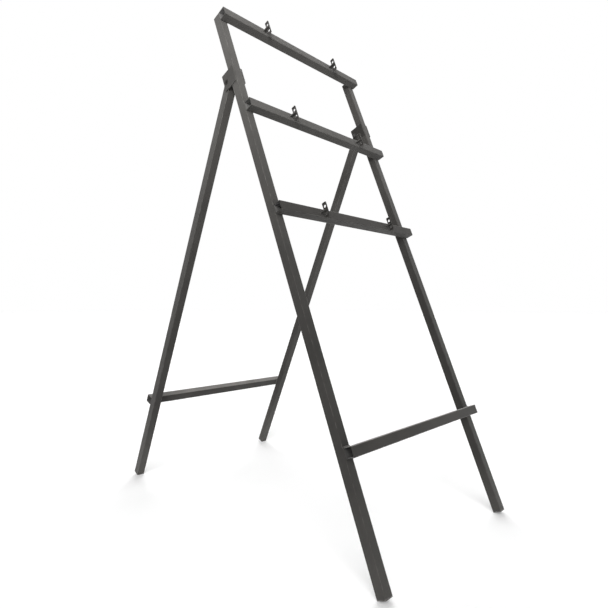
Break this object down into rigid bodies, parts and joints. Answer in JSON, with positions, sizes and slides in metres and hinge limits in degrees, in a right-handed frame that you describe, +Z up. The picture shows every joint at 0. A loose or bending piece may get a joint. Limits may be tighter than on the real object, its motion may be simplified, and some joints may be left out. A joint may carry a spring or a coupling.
{
  "type": "sign frame",
  "caption": "Free-standing folding A-frame of black square steel tube, with cross rails whose pinned lugs carry slide-on sign panels and a rear leg frame hinged near the top.",
  "frame": {"origin": "on the ground under the middle of the open frame's box", "axes": "+Z up, -Y the front with the sign rails, +X to the right seen from the front"},
  "size_m": [0.6086, 1.0648, 1.4515],
  "materials": {
    "frame_black": "satin black powder coat on mild steel",
    "fastener_black": "black oxide steel"
  },
  "bodies": {
    "front_frame": {"front_leg_left": "frame_black", "front_leg_right": "frame_black", "top_rail": "frame_black", "middle_rail": "frame_black", "lower_rail": "frame_black", "front_brace": "frame_black", "sign_lug_top_left": "frame_black", "sign_lug_top_right": "frame_black", "sign_lug_middle_left": "frame_black", "sign_lug_middle_right": "frame_black", "sign_lug_lower_left": "frame_black", "sign_lug_lower_right": "frame_black", "hinge_cheek_outer_left": "frame_black", "hinge_cheek_inner_left": "frame_black", "hinge_cheek_outer_right": "frame_black", "hinge_cheek_inner_right": "frame_black", "hinge_welds_left": "frame_black", "hinge_welds_right": "frame_black", "pivot_bolt_left": "fastener_black", "pivot_bolt_right": "fastener_black", "pivot_washer_left": "fastener_black", "pivot_washer_right": "fastener_black", "pivot_nut_left": "fastener_black", "pivot_nut_right": "fastener_black"},
    "rear_frame": {"rear_leg_left": "frame_black", "rear_leg_right": "frame_black", "rear_brace": "frame_black"}
  },
  "joints": [
    {"name": "fold", "type": "hinge", "parent": "front_frame", "child": "rear_frame", "pos_m": [0, -0.00693, 1.21321], "axis": [-1, 0, 0], "range_deg": [0, 45.5]}
  ]
}
